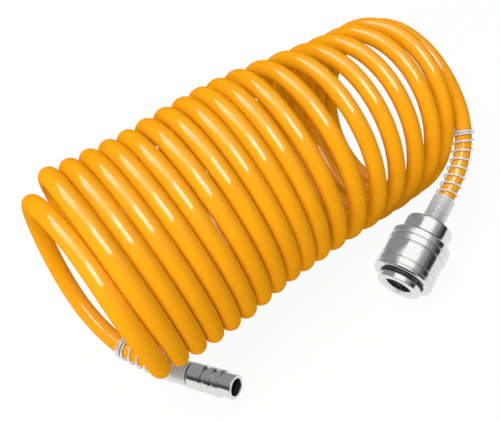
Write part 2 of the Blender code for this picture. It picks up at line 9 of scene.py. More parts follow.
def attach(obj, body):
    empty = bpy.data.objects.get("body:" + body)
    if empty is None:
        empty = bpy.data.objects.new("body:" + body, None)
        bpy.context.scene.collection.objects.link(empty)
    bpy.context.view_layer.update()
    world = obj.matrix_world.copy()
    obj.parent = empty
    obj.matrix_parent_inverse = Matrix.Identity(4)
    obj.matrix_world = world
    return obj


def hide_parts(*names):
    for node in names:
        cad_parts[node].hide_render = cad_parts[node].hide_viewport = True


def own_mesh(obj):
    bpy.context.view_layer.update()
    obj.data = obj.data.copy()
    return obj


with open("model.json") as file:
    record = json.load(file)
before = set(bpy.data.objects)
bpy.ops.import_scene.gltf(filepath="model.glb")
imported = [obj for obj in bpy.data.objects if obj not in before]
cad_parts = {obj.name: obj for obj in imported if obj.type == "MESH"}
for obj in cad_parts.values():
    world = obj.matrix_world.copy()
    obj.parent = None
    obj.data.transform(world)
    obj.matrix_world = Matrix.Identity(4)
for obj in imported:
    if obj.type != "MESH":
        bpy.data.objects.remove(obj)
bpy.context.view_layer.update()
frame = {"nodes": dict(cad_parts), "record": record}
nodes = frame["nodes"]
record = frame["record"]
joints = {joint["name"]: joint for joint in record["behaviour"]["joints"]}
mm = 0.001
print("frame loaded:", len(nodes), "nodes")


# Lines and curves, all in millimetres until a mesh is made

def between(table, turn):
    if turn <= table[0][0]:
        return table[0][1]
    for (low, start), (high, end) in zip(table, table[1:]):
        if turn <= high:
            return start + (end - start) * (turn - low) / (high - low)
    return table[-1][1]


def smoothLine(points, samples=16):
    # natural cubic spline, measured by the straight distance between points
    spans = [(b - a).length for a, b in zip(points, points[1:])]
    last = len(points) - 1
    share = [0.0] * (last + 1)
    bend = [Vector() for _ in points]
    for i in range(1, last):
        back, ahead = spans[i - 1], spans[i]
        turn = (points[i + 1] - points[i]) / ahead - (points[i] - points[i - 1]) / back
        pivot = 2 * (back + ahead) - back * share[i - 1]
        share[i] = ahead / pivot
        bend[i] = (turn * 6 - bend[i - 1] * back) / pivot
    for i in range(last - 1, 0, -1):
        bend[i] -= bend[i + 1] * share[i]
    line = []
    for i, span in enumerate(spans):
        for j in range(samples):
            t = j / samples
            u = 1 - t
            sag = (bend[i] * (u ** 3 - u) + bend[i + 1] * (t ** 3 - t)) * span * span / 6
            line.append(points[i] * u + points[i + 1] * t + sag)
    line.append(points[-1].copy())
    return line


def runLengths(line):
    runs = [0.0]
    for a, b in zip(line, line[1:]):
        runs.append(runs[-1] + (b - a).length)
    return runs


def evenly(line, step):
    runs = runLengths(line)
    count = max(1, round(runs[-1] / step))
    picked = []
    k = 0
    for i in range(count + 1):
        goal = runs[-1] * i / count
        while k < len(line) - 2 and runs[k + 1] < goal:
            k += 1
        picked.append(line[k].lerp(line[k + 1], (goal - runs[k]) / (runs[k + 1] - runs[k])))
    return picked


def heading(turn, rise):
    turn, rise = math.radians(turn), math.radians(rise)
    return Vector((math.cos(turn) * math.cos(rise), math.sin(turn) * math.cos(rise), math.sin(rise)))


# The hose as it lies: eighteen loops on their side and two tails
# Tables go by turn, apart from the radii, and the tails' points are shares of coilRadius
hoseLay = {
    "diameter": 8.2,
    # radius at places along the hose: the near loops look a little thicker than the far ones
    "radii": ((0, 4.1), (120, 4.1), (250, 4.25), (2900, 4.25), (3600, 4.02), (5400, 4.02)),
    "coilRadius": 43.0,
    "coilStart": 0.26,
    "coilEnd": 17.62,
    "joinStep": 0.06,       # turns between the points where a tail meets the loops
    "joinPoints": 3,
    "endless": 99,          # a turn beyond any loop
    "middleTurn": 9.0,
    "middleX": 4.6,
    "restingTurn": 17.5,
    "archRise": 6.0,
    "nearEndLift": 12.0,
    "flatDepth": 0.8,
    "pitch": ((0, 1.185), (5, 1.175), (9.5, 1.18), (12.5, 1.645), (14, 1.39), (15.5, 1.57), (17, 1.195)),
    "girth": ((0, 1.035), (5, 1.035), (8, 1.02), (11, 1.02), (14, 1.0)),
    "lean": ((0, -0.236), (5, -0.245), (11, -0.2), (14, 0.015), (17, 0.2)),
    "yaw": ((0, -0.21), (5, -0.24), (11, -0.3), (17, -0.09)),
    "sway": ((0, 0.0), (15.5, 0.0), (17.3, 0.047)),
    "rise": (
        (0, 0.09), (1, 0.06), (2, 0.015), (3.5, -0.025), (5, -0.04), (8.5, 0.03), (11, 0.04), (14, 0.0),
    ),
    "guardRest": 5.56,      # height of a tail whose guard lies on the ground
    "neck": 14.0,           # straight length behind each fitting
    "endGap": 0.3,
    "plugTail": (
        (0.28, -0.16, 0.014), (0.215, 0.135, 0.015), (0.185, 0.415, 0.075), (0.17, 0.67, 0.19),
        (0.165, 0.935, 0.43), (0.15, 1.13, 0.845), (0.115, 1.14, 1.205), (0.045, 0.985, 1.57),
        (-0.075, 0.61, 1.91), (-0.165, 0.1, 2.07), (-0.25, -0.54, 2.0), (-0.24, -0.93, 1.63),
    ),
    "socketTail": (
        (-0.19, -1.2, 0.755), (-0.07, -1.155, 0.85), (0.12, -1.015, 1.09), (0.2, -0.88, 1.27),
        (0.24, -0.715, 1.455), (0.275, -0.36, 1.735), (0.285, 0.14, 1.865), (0.275, 0.415, 1.81),
        (0.185, 0.915, 1.285), (0.11, 0.995, 0.885),
    ),
    "plugPlace": (0.441, -0.695, 9.1),
    "plugHeading": (-73.0, 12.8),
    "socketPlace": (-0.809, -1.342, 25.15),
    "socketHeading": (192.0, -22.0),
    "sleeveRear": 8.5,
    "pointsPerTurn": 72,
    "fineStep": 1.0,
    "tailStep": 2.5,
    "sides": 28,
    "length": 5.33,
}


def alongAxis(turn):
    run = 0.0
    table = hoseLay["pitch"] + ((hoseLay["endless"], hoseLay["pitch"][-1][1]),)
    for (low, start), (high, end) in zip(table, table[1:]):
        if turn <= low:
            break
        top = min(turn, high)
        run += (top - low) * (start + between(table, top)) / 2
    return run * hoseLay["diameter"]


def axisX(turn):
    return alongAxis(turn) - alongAxis(hoseLay["middleTurn"]) + hoseLay["middleX"]


def coilPoint(turn):
    lay = hoseLay
    radius = lay["coilRadius"]
    angle = math.tau * turn
    out = radius * between(lay["girth"], turn)
    x = axisX(turn) + out * between(lay["lean"], turn) * math.cos(angle)
    x += out * between(lay["yaw"], turn) * math.sin(angle)
    y = radius * between(lay["sway"], turn) - out * math.sin(angle)
    middle = lay["middleTurn"]
    restingShare, turnShare = (lay["restingTurn"] - middle) / middle, (turn - middle) / middle
    arch = lay["archRise"] * (restingShare ** 2 - turnShare ** 2)
    lift = lay["nearEndLift"] * (1 - turn / lay["restingTurn"]) + radius * between(lay["rise"], turn)
    z = radius + lay["diameter"] / 2 - lay["flatDepth"] + arch + lift + out * math.cos(angle)
    return Vector((x, y, z))


def tailLine(rear, axis, shares, end, turns):
    lay = hoseLay
    start = Vector((axisX(end), 0.0, lay["guardRest"]))
    neck = [rear - axis * (lay["endGap"] + lay["neck"] * i / 2) for i in range(3)]
    coil = [coilPoint(turn) for turn in turns]
    line = smoothLine(neck + [start + Vector(share) * lay["coilRadius"] for share in shares] + coil)
    step = lay["fineStep"]
    line = evenly(line, step)
    for i in range(round(lay["neck"] / step)):
        line[i] = rear - axis * (lay["endGap"] + i * step)
    joint = min(range(len(line)), key=lambda i: (line[i] - coil[0]).length)
    return evenly(line[:joint] + coil[:1], lay["tailStep"])


plugAxis = heading(*hoseLay["plugHeading"])
socketAxis = heading(*hoseLay["socketHeading"])
coilRadius = hoseLay["coilRadius"]
px, py, pz = hoseLay["plugPlace"]
plugRear = Vector((axisX(0) + px * coilRadius, py * coilRadius, pz))
sx, sy, sz = hoseLay["socketPlace"]
socketRear = Vector((axisX(hoseLay["restingTurn"]) + sx * coilRadius, sy * coilRadius, sz))

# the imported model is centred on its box, so the lay shifts to where the sleeve's slide is
sleeveStart = Vector(joints["sleeve_slide"]["pos_m"]) / mm
shift = sleeveStart - (socketRear + socketAxis * hoseLay["sleeveRear"])

joinTurns = [hoseLay["joinStep"] * i for i in range(hoseLay["joinPoints"])]
plugTail = tailLine(plugRear, plugAxis, hoseLay["plugTail"], 0,
                    [hoseLay["coilStart"] + turn for turn in joinTurns])
socketTail = tailLine(socketRear, socketAxis, hoseLay["socketTail"], hoseLay["restingTurn"],
                      [hoseLay["coilEnd"] - turn for turn in joinTurns])
turnSpan = hoseLay["coilEnd"] - hoseLay["coilStart"]
loopCount = round(turnSpan * hoseLay["pointsPerTurn"])
loops = [coilPoint(hoseLay["coilStart"] + turnSpan * i / loopCount) for i in range(1, loopCount)]
hoseLine = [point + shift for point in plugTail + loops + socketTail[::-1]]
plugTail = [point + shift for point in plugTail]
socketTail = [point + shift for point in socketTail]
plugRear += shift
socketRear += shift
print("hose line: %d points, %.3f m" % (len(hoseLine), runLengths(hoseLine)[-1] * mm))


# Camera at the photograph's angle
view = {
    "place": (-191.2, -221.2, 311.6),
    "right": (0.7197, -0.6928, -0.0459),
    "up": (0.4932, 0.4636, 0.7361),
    "lens": 61.69,
    "sensor": 36.0,
    "clipStart": 0.01,
}
lens = bpy.data.cameras.new("viewLens")
lens.lens = view["lens"]
lens.sensor_width = view["sensor"]
lens.sensor_fit = "HORIZONTAL"
lens.clip_start = view["clipStart"]
camera = bpy.data.objects.new("viewCamera", lens)
bpy.context.collection.objects.link(camera)
right = Vector(view["right"]).normalized()
up = Vector(view["up"])
up = (up - right * up.dot(right)).normalized()
back = right.cross(up)
turnTo = Matrix((right, up, back)).transposed().to_4x4()
camera.matrix_world = Matrix.Translation((Vector(view["place"]) + shift) * mm) @ turnTo
bpy.context.scene.camera = camera
print("camera placed")


# Mesh helpers

def placeMesh(name, mesh):
    piece = bpy.data.objects.new(name, mesh)
    bpy.context.collection.objects.link(piece)
    return piece


def lineFrames(line):
    tangents = []
    for i in range(len(line)):
        tangents.append((line[min(i + 1, len(line) - 1)] - line[max(i - 1, 0)]).normalized())
    side = tangents[0].orthogonal().normalized()
    frames = []
    for tangent in tangents:
        side = (side - tangent * side.dot(tangent)).normalized()
        frames.append((tangent, side, tangent.cross(side)))
    return frames


def tubeMesh(name, line, radii, sides, uvName):
    # a round tube along a line, with the run length and the way round kept as its UV map
    work = bmesh.new()
    uvLayer = work.loops.layers.uv.new(uvName)
    runs = runLengths(line)
    rings = []
    for point, radius, (tangent, side, over) in zip(line, radii, lineFrames(line)):
        ring = []
        for j in range(sides):
            angle = math.tau * j / sides
            spot = point + (side * math.cos(angle) + over * math.sin(angle)) * radius
            spot.z = max(spot.z, 0.0)
            ring.append(work.verts.new(spot * mm))
        rings.append(ring)
    for i, (first, second) in enumerate(zip(rings, rings[1:])):
        for j in range(sides):
            k = (j + 1) % sides
            face = work.faces.new((first[j], first[k], second[k], second[j]))
            face.smooth = True
            marks = ((i, j), (i, j + 1), (i + 1, j + 1), (i + 1, j))
            for loop, (a, b) in zip(face.loops, marks):
                loop[uvLayer].uv = (runs[a] * mm, b / sides)
    work.faces.new(rings[0][::-1])
    work.faces.new(rings[-1])
    bmesh.ops.recalc_face_normals(work, faces=work.faces)
    mesh = bpy.data.meshes.new(name)
    work.to_mesh(mesh)
    work.free()
    return mesh


def roundedProfile(corners, steps=4, mostShare=0.48, leastSlope=1e-4):
    # corners are (radius, place, fillet); each fillet becomes a short arc within its share of both edges
    points = []
    count = len(corners)
    for i, (r, s, fillet) in enumerate(corners):
        here = Vector((r, s))
        if fillet <= 0:
            points.append(here)
            continue
        before = Vector(corners[i - 1][:2]) - here
        after = Vector(corners[(i + 1) % count][:2]) - here
        toBefore, toAfter = before.normalized(), after.normalized()
        slope = max(math.tan(toBefore.angle(toAfter) / 2), leastSlope)
        cutBack = min(fillet / slope, before.length * mostShare, after.length * mostShare)
        a, b = here + toBefore * cutBack, here + toAfter * cutBack
        for j in range(steps + 1):
            t = j / steps
            points.append(a * (1 - t) ** 2 + here * 2 * t * (1 - t) + b * t * t)
    return points


def turnedMesh(name, corners, matrix, segments=96):
    # a profile turned round an axis, with the run along the profile and the way round kept as its UV map
    profile = roundedProfile(corners)
    runs = runLengths(profile + profile[:1])
    work = bmesh.new()
    uvLayer = work.loops.layers.uv.new("turnedRun")
    columns = []
    for i in range(segments):
        angle = math.tau * i / segments
        c, s = math.cos(angle) * mm, math.sin(angle) * mm
        columns.append([work.verts.new(matrix @ Vector((p.x * c, p.x * s, p.y * mm))) for p in profile])
    count = len(profile)
    for i in range(segments):
        here, there = columns[i], columns[(i + 1) % segments]
        for j in range(count):
            k = (j + 1) % count
            face = work.faces.new((here[j], there[j], there[k], here[k]))
            face.smooth = True
            marks = ((j, i), (j, i + 1), (j + 1, i + 1), (j + 1, i))
            for loop, (a, b) in zip(face.loops, marks):
                loop[uvLayer].uv = (runs[a] * mm, b / segments)
    bmesh.ops.recalc_face_normals(work, faces=work.faces)
    mesh = bpy.data.meshes.new(name)
    work.to_mesh(mesh)
    work.free()
    return mesh


def weighNormals(piece, sharpFrom=50, weight=80):
    piece.data.set_sharp_from_angle(angle=math.radians(sharpFrom))
    weigh = piece.modifiers.new("faceWeight", "WEIGHTED_NORMAL")
    weigh.keep_sharp = True
    weigh.weight = weight


def turnedPiece(name, corners, matrix):
    piece = placeMesh(name, turnedMesh(name, corners, matrix))
    weighNormals(piece)
    return piece


def axisMatrix(origin, axis):
    turn = Vector((0.0, 0.0, 1.0)).rotation_difference(axis).to_matrix().to_4x4()
    return Matrix.Translation(origin * mm) @ turn


def woundLine(route, schedule, pointsPerTurn):
    # schedule rows are (turn, place along the route, radius)
    runs = runLengths(route)
    frames = lineFrames(route)
    turns = schedule[-1][0]
    places = [(row[0], row[1]) for row in schedule]
    radii = [(row[0], row[2]) for row in schedule]
    points = []
    k = 0
    for i in range(round(turns * pointsPerTurn) + 1):
        turn = i / pointsPerTurn
        run = between(places, turn)
        while k < len(route) - 2 and runs[k + 1] < run:
            k += 1
        t = (run - runs[k]) / (runs[k + 1] - runs[k])
        middle = route[k].lerp(route[k + 1], t)
        tangent = frames[k][0].lerp(frames[k + 1][0], t).normalized()
        side = frames[k][1].lerp(frames[k + 1][1], t)
        side = (side - tangent * side.dot(tangent)).normalized()
        over = tangent.cross(side)
        angle = math.tau * turn
        points.append(middle + (side * math.cos(angle) + over * math.sin(angle)) * between(radii, turn))
    return points


# Shared shader effects

def newGroup(name, inputs, outputs):
    group = bpy.data.node_groups.new(name, "ShaderNodeTree")
    for label, kind, value in inputs:
        socket = group.interface.new_socket(label, in_out="INPUT", socket_type=kind)
        socket.default_value = value
    for label, kind in outputs:
        group.interface.new_socket(label, in_out="OUTPUT", socket_type=kind)
    entry = group.nodes.new("NodeGroupInput")
    leave = group.nodes.new("NodeGroupOutput")
    return group, entry, leave


def addNode(tree, kind, **settings):
    node = tree.nodes.new(kind)
    for key, value in settings.items():
        setattr(node, key, value)
    return node


def grey(tone):
    return tone, tone, tone, 1.0


def math2(tree, operation, a, b=0.0):
    node = addNode(tree, "ShaderNodeMath", operation=operation)
    for socket, value in zip(node.inputs, (a, b)):
        if isinstance(value, (int, float)):
            socket.default_value = value
        else:
            tree.links.new(value, socket)
    return node.outputs[0]


scuffLook = {
    "detail": 4.0,
    "roughness": 0.65,
    "edge": (0.52, 0.74),
    "slowScale": 0.08,
    "slowDetail": 1.0,
}


def fineScuffs():
    # short dull marks and a slow change of tone, by place on the piece
    group, entry, leave = newGroup(
        "fineScuffs",
        (("Scale", "NodeSocketFloat", 400.0), ("Amount", "NodeSocketFloat", 0.5)),
        (("Mask", "NodeSocketFloat"), ("Tone", "NodeSocketFloat")),
    )
    links = group.links
    coords = addNode(group, "ShaderNodeTexCoord")
    grain = addNode(group, "ShaderNodeTexNoise")
    grain.inputs["Detail"].default_value = scuffLook["detail"]
    grain.inputs["Roughness"].default_value = scuffLook["roughness"]
    links.new(coords.outputs["Object"], grain.inputs["Vector"])
    links.new(entry.outputs["Scale"], grain.inputs["Scale"])
    edge = addNode(group, "ShaderNodeMapRange")
    edge.inputs["From Min"].default_value, edge.inputs["From Max"].default_value = scuffLook["edge"]
    links.new(grain.outputs["Fac"], edge.inputs["Value"])
    mask = math2(group, "MULTIPLY", edge.outputs["Result"], entry.outputs["Amount"])
    slow = addNode(group, "ShaderNodeTexNoise")
    slow.inputs["Detail"].default_value = scuffLook["slowDetail"]
    links.new(coords.outputs["Object"], slow.inputs["Vector"])
    slowScale = math2(group, "MULTIPLY", entry.outputs["Scale"], scuffLook["slowScale"])
    links.new(slowScale, slow.inputs["Scale"])
    links.new(mask, leave.inputs["Mask"])
    links.new(slow.outputs["Fac"], leave.inputs["Tone"])
    return group


latheLook = {
    "detail": 3.0,
    "bandScale": 0.15,
    "bandDetail": 1.0,
}


def latheLines():
    # fine rings left by the turning tool, by the run along the turned profile
    group, entry, leave = newGroup(
        "latheLines",
        (("Rings", "NodeSocketFloat", 4000.0),),
        (("Height", "NodeSocketFloat"), ("Polish", "NodeSocketFloat")),
    )
    links = group.links
    coords = addNode(group, "ShaderNodeTexCoord")
    split = addNode(group, "ShaderNodeSeparateXYZ")
    links.new(coords.outputs["UV"], split.inputs[0])
    place = split.outputs["X"]
    rings = addNode(group, "ShaderNodeTexNoise", noise_dimensions="1D")
    rings.inputs["Detail"].default_value = latheLook["detail"]
    links.new(place, rings.inputs["W"])
    links.new(entry.outputs["Rings"], rings.inputs["Scale"])
    links.new(rings.outputs["Fac"], leave.inputs["Height"])
    bands = addNode(group, "ShaderNodeTexNoise", noise_dimensions="1D")
    bands.inputs["Detail"].default_value = latheLook["bandDetail"]
    links.new(place, bands.inputs["W"])
    bandScale = math2(group, "MULTIPLY", entry.outputs["Rings"], latheLook["bandScale"])
    links.new(bandScale, bands.inputs["Scale"])
    links.new(bands.outputs["Fac"], leave.inputs["Polish"])
    return group


streakLook = {
    "scale": 1.0,
    "detail": 3.0,
}


def drawnStreaks():
    # long faint lines that run with a drawn tube or wire
    group, entry, leave = newGroup(
        "drawnStreaks",
        (("Around", "NodeSocketFloat", 6.0), ("Along", "NodeSocketFloat", 8.0)),
        (("Lines", "NodeSocketFloat"),),
    )
    links = group.links
    coords = addNode(group, "ShaderNodeTexCoord")
    split = addNode(group, "ShaderNodeSeparateXYZ")
    links.new(coords.outputs["UV"], split.inputs[0])
    angle = math2(group, "MULTIPLY", split.outputs["Y"], math.tau)
    cosine = math2(group, "MULTIPLY", math2(group, "COSINE", angle), entry.outputs["Around"])
    sine = math2(group, "MULTIPLY", math2(group, "SINE", angle), entry.outputs["Around"])
    run = math2(group, "MULTIPLY", split.outputs["X"], entry.outputs["Along"])
    join = addNode(group, "ShaderNodeCombineXYZ")
    links.new(cosine, join.inputs["X"])
    links.new(sine, join.inputs["Y"])
    links.new(run, join.inputs["Z"])
    lines = addNode(group, "ShaderNodeTexNoise")
    lines.inputs["Scale"].default_value = streakLook["scale"]
    lines.inputs["Detail"].default_value = streakLook["detail"]
    links.new(join.outputs[0], lines.inputs["Vector"])
    links.new(lines.outputs["Fac"], leave.inputs["Lines"])
    return group


scuffGroup = fineScuffs()
latheGroup = latheLines()
streakGroup = drawnStreaks()


def newMaterial(name):
    material = bpy.data.materials.new(name)
    material.use_nodes = True
    tree = material.node_tree
    shader = tree.nodes["Principled BSDF"]
    return material, tree, shader


def placeGroup(tree, group, **values):
    node = addNode(tree, "ShaderNodeGroup", node_tree=group)
    for key, value in values.items():
        node.inputs[key].default_value = value
    return node


def spread(tree, value, low, high, fromLow=0.0, fromHigh=1.0):
    node = addNode(tree, "ShaderNodeMapRange")
    node.inputs["From Min"].default_value = fromLow
    node.inputs["From Max"].default_value = fromHigh
    node.inputs["To Min"].default_value = low
    node.inputs["To Max"].default_value = high
    tree.links.new(value, node.inputs["Value"])
    return node.outputs["Result"]


def tones(tree, value, first, second):
    node = addNode(tree, "ShaderNodeMix", data_type="RGBA")
    node.inputs["A"].default_value = (*first, 1.0)
    node.inputs["B"].default_value = (*second, 1.0)
    tree.links.new(value, node.inputs["Factor"])
    return node.outputs["Result"]


def bumpFrom(tree, shader, height, strength, distance):
    node = addNode(tree, "ShaderNodeBump")
    node.inputs["Strength"].default_value = strength
    node.inputs["Distance"].default_value = distance
    tree.links.new(height, node.inputs["Height"])
    tree.links.new(node.outputs["Normal"], shader.inputs["Normal"])


hoseFinish = {
    "bright": (0.81, 0.334, 0.009),
    "deep": (0.77, 0.309, 0.007),
    "streaks": {"Around": 5.0, "Along": 9.0},
    "scuffs": {"Scale": 700.0, "Amount": 0.6},
    "blendFrom": (0.3, 0.7),
    "polish": (0.08, 0.15),
    "shine": 0.42,
    "shineFrom": (0.4, 0.72),           # how far a face looks up where the gloss begins and is full
    "shineRim": (0.35, 0.6),            # where it ends again towards the outline
    "rimBlend": 0.5,
    "shineTint": (1.0, 0.70, 0.78),
    "glow": 0.06,
    "glowReach": (0.003, 0.0012, 0.0003),
    # grey glow that glossy rays see on the hose, a painted reflection
    "reflectionGlowGrey": 0.34,
    "bounce": (0.98, 0.72, 0.30),
}


def orangeTube():
    finish = hoseFinish
    material, tree, shader = newMaterial("orangeTube")
    streaks = placeGroup(tree, streakGroup, **finish["streaks"])
    scuffs = placeGroup(tree, scuffGroup, **finish["scuffs"])
    half = 0.5
    blend = math2(tree, "ADD", math2(tree, "MULTIPLY", streaks.outputs["Lines"], half),
                  math2(tree, "MULTIPLY", scuffs.outputs["Tone"], half))
    depth = spread(tree, blend, 0.0, 1.0, *finish["blendFrom"])
    colour = tones(tree, depth, finish["bright"], finish["deep"])
    tree.links.new(colour, shader.inputs["Base Color"])
    tree.links.new(spread(tree, scuffs.outputs["Mask"], *finish["polish"]), shader.inputs["Roughness"])
    shader.inputs["Specular IOR Level"].default_value = finish["shine"]
    shader.inputs["Specular Tint"].default_value = (*finish["shineTint"], 1.0)
    shader.inputs["Subsurface Weight"].default_value = finish["glow"]
    shader.inputs["Subsurface Radius"].default_value = finish["glowReach"]
    shader.inputs["Subsurface Scale"].default_value = 1.0
    # the gloss is on the upper side of the hose, and the flanks and undersides are plain
    plainSide = addNode(tree, "ShaderNodeBsdfDiffuse")
    tree.links.new(colour, plainSide.inputs["Color"])
    facing = addNode(tree, "ShaderNodeSeparateXYZ")
    tree.links.new(addNode(tree, "ShaderNodeNewGeometry").outputs["Normal"], facing.inputs[0])
    upper = spread(tree, facing.outputs["Z"], 0.0, 1.0, *finish["shineFrom"])
    rim = addNode(tree, "ShaderNodeLayerWeight")
    rim.inputs["Blend"].default_value = finish["rimBlend"]
    inside = spread(tree, rim.outputs["Facing"], 1.0, 0.0, *finish["shineRim"])
    coat = addNode(tree, "ShaderNodeMixShader")
    tree.links.new(math2(tree, "MULTIPLY", upper, inside), coat.inputs["Fac"])
    tree.links.new(plainSide.outputs[0], coat.inputs[1])
    tree.links.new(shader.outputs[0], coat.inputs[2])
    # polished metal shows the hose as the plain grey of the photo
    # painted reflection: glossy rays see the hose as a flat grey glow, not its lit colour
    path = addNode(tree, "ShaderNodeLightPath")
    plain = addNode(tree, "ShaderNodeEmission")
    plain.inputs["Color"].default_value = grey(finish["reflectionGlowGrey"])
    mix = addNode(tree, "ShaderNodeMixShader")
    tree.links.new(path.outputs["Is Glossy Ray"], mix.inputs["Fac"])
    tree.links.new(coat.outputs[0], mix.inputs[1])
    tree.links.new(plain.outputs[0], mix.inputs[2])
    # light that bounces between the loops keeps less of their colour
    # painted light: diffuse rays see the hose as a paler colour, which lightens the creases between the
    # loops
    paler = addNode(tree, "ShaderNodeBsdfDiffuse")
    paler.inputs["Color"].default_value = (*finish["bounce"], 1.0)
    whole = addNode(tree, "ShaderNodeMixShader")
    tree.links.new(path.outputs["Is Diffuse Ray"], whole.inputs["Fac"])
    tree.links.new(mix.outputs[0], whole.inputs[1])
    tree.links.new(paler.outputs[0], whole.inputs[2])
    tree.links.new(whole.outputs[0], tree.nodes["Material Output"].inputs["Surface"])
    return material


nickelFinish = {
    "clean": (0.74, 0.74, 0.735),
    "worn": (0.62, 0.62, 0.615),
    "polish": (0.10, 0.20),
    "rings": {"Rings": 5200.0},
    "scuffs": {"Scale": 900.0, "Amount": 0.7},
    "scuffRough": 0.12,
    "bump": (0.06, 0.0002),
}


def brightNickel():
    finish = nickelFinish
    material, tree, shader = newMaterial("brightNickel")
    lathe = placeGroup(tree, latheGroup, **finish["rings"])
    scuffs = placeGroup(tree, scuffGroup, **finish["scuffs"])
    colour = tones(tree, scuffs.outputs["Mask"], finish["clean"], finish["worn"])
    tree.links.new(colour, shader.inputs["Base Color"])
    rough = math2(tree, "ADD", spread(tree, lathe.outputs["Polish"], *finish["polish"]),
                  math2(tree, "MULTIPLY", scuffs.outputs["Mask"], finish["scuffRough"]))
    tree.links.new(rough, shader.inputs["Roughness"])
    shader.inputs["Metallic"].default_value = 1.0
    bumpFrom(tree, shader, lathe.outputs["Height"], *finish["bump"])
    return material


wireFinish = {
    "clean": (0.82, 0.83, 0.84),
    "worn": (0.70, 0.71, 0.72),
    "polish": (0.28, 0.40),
    "metal": 0.55,
    "streaks": {"Around": 4.0, "Along": 60.0},
    "scuffs": {"Scale": 1500.0, "Amount": 0.8},
    "bump": (0.05, 0.0001),
}


def zincWire():
    finish = wireFinish
    material, tree, shader = newMaterial("zincWire")
    streaks = placeGroup(tree, streakGroup, **finish["streaks"])
    scuffs = placeGroup(tree, scuffGroup, **finish["scuffs"])
    colour = tones(tree, scuffs.outputs["Mask"], finish["clean"], finish["worn"])
    tree.links.new(colour, shader.inputs["Base Color"])
    tree.links.new(spread(tree, streaks.outputs["Lines"], *finish["polish"]), shader.inputs["Roughness"])
    shader.inputs["Metallic"].default_value = finish["metal"]
    bumpFrom(tree, shader, streaks.outputs["Lines"], *finish["bump"])
    return material


innerFinishes = {
    "springSteel": {
        "clean": (0.56, 0.57, 0.59), "worn": (0.42, 0.42, 0.43), "polish": (0.18, 0.36), "metal": 1.0,
    },
    "turnedBrass": {
        "clean": (0.78, 0.57, 0.25), "worn": (0.60, 0.42, 0.17), "polish": (0.20, 0.36), "metal": 1.0,
    },
    # near black: dark steel on the retaining ring, and painted shade on the fittings' necks and the plug's
    # bore
    "darkSteelAndPaintedShade": {
        "clean": (0.06, 0.06, 0.062), "worn": (0.04, 0.04, 0.041), "polish": (0.4, 0.55), "metal": 0.6,
    },
    "blackRubber": {
        "clean": (0.018, 0.018, 0.019), "worn": (0.045, 0.045, 0.045), "polish": (0.5, 0.7), "metal": 0.0,
    },
}
innerScuffs = {"Scale": 1200.0, "Amount": 0.9}
innerBump = (0.05, 0.0002)


def innerMaterial(name):
    finish = innerFinishes[name]
    material, tree, shader = newMaterial(name)
    scuffs = placeGroup(tree, scuffGroup, **innerScuffs)
    colour = tones(tree, scuffs.outputs["Mask"], finish["clean"], finish["worn"])
    tree.links.new(colour, shader.inputs["Base Color"])
    tree.links.new(spread(tree, scuffs.outputs["Tone"], *finish["polish"]), shader.inputs["Roughness"])
    shader.inputs["Metallic"].default_value = finish["metal"]
    bumpFrom(tree, shader, scuffs.outputs["Tone"], *innerBump)
    return material


orange = orangeTube()
nickel = brightNickel()
zinc = zincWire()
steel = innerMaterial("springSteel")
brass = innerMaterial("turnedBrass")
rubber = innerMaterial("blackRubber")
darkSteelAndShade = innerMaterial("darkSteelAndPaintedShade")
print("materials made")


# Hose
hoseRadii = [between(hoseLay["radii"], run) for run in runLengths(hoseLine)]
hose = placeMesh("spiralHose", tubeMesh("spiralHose", hoseLine, hoseRadii, hoseLay["sides"], "hoseRun"))
hose.data.materials.append(orange)
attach(hose, "hose")
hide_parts("recoil_hose")
print("hose wound")


# Wire guards: close turns on the neck, open turns over the hose, two closed turns at the free end
guards = {
    "wire": 0.95,
    "neckRadius": 5.05,
    "hoseRadius": 5.0,
    "closeTurns": 11.2,
    "closePitch": 1.16,
    "endTurns": 1.8,
    "ease": 0.5,            # part of a turn over which the pitch changes
    "pointsPerTurn": 28,
    "sides": 10,
    "plug": {"node": "plug_spring_guard", "setBack": -2.3, "openTurns": 6, "openPitch": 4.2},
    "socket": {"node": "socket_spring_guard", "setBack": 1.5, "openTurns": 8, "openPitch": 4.6},
}


def makeGuard(end, route):
    own = guards[end]
    wire = guards["wire"]
    start = own["setBack"] + wire / 2 - hoseLay["endGap"]
    tight, loose = guards["neckRadius"], guards["hoseRadius"]
    close, ease = guards["closeTurns"], guards["ease"]
    change = (own["openPitch"] + guards["closePitch"]) / 2 * ease
    opened = close + own["openTurns"]
    schedule = [(0, start, tight)]
    run = start + close * guards["closePitch"]
    schedule.append((close, run, tight))
    run += change
    schedule.append((close + ease, run, (tight + loose) / 2))
    run += own["openPitch"] * (own["openTurns"] - 2 * ease)
    schedule.append((opened - ease, run, loose))
    run += change
    schedule.append((opened, run, loose))
    run += guards["endTurns"] * guards["closePitch"]
    schedule.append((opened + guards["endTurns"], run, loose))
    name = end + "WireGuard"
    points = woundLine(route, schedule, guards["pointsPerTurn"])
    piece = placeMesh(name, tubeMesh(name, points, [wire / 2] * len(points), guards["sides"], "wireRun"))
    piece.data.materials.append(zinc)
    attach(piece, "hose")
    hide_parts(own["node"])
    return piece


makeGuard("plug", plugTail)
socketGuard = makeGuard("socket", socketTail)
print("guards wound")


# Tail clamp: the thin neck round the hose end and the barbed stem inside it, the same on both fittings
clamp = {
    "neckIn": 4.15,
    "neckOut": 4.45,
    "neckLength": 10.0,
    "crest": 2.2,
    "root": 1.9,
    "barb": 4.0,
    "bore": 1.2,
    "edge": 0.1,
    "paintedShadeFrom": 1.2,        # the neck is painted dark as shade from this far behind the rear face
}


